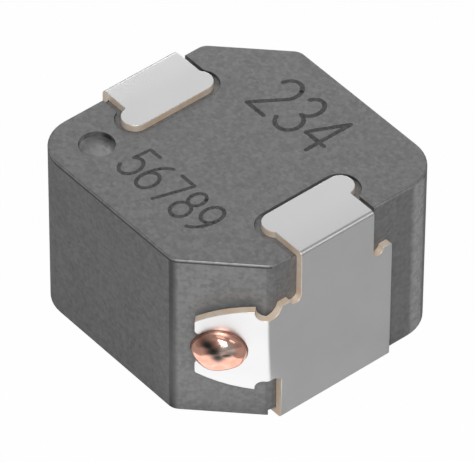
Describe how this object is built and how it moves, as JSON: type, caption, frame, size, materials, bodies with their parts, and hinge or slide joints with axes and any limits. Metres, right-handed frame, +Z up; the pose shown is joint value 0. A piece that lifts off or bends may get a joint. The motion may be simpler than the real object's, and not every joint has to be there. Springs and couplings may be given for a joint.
{
  "type": "shielded power inductor",
  "caption": "Squat moulded power inductor block with folded side terminals, solder pads below and welded wire beads, for surface mounting.",
  "frame": {"origin": "under the middle of the block, on the board", "axes": "+X from one terminal to the other, +Z up, away from the board"},
  "size_m": [0.0074, 0.007, 0.005],
  "materials": {
    "pressed_powder": "matte, fine grain",
    "enamelled_copper": "enamelled round wire",
    "tinned_sheet": "satin tin plate",
    "melted_copper": "bright, melted"
  },
  "bodies": {
    "root": {"moulded_core": "pressed_powder", "coil": "enamelled_copper", "terminal_a": "tinned_sheet", "terminal_b": "tinned_sheet", "weld_bead_a": "melted_copper", "weld_bead_b": "melted_copper"}
  },
  "joints": []
}
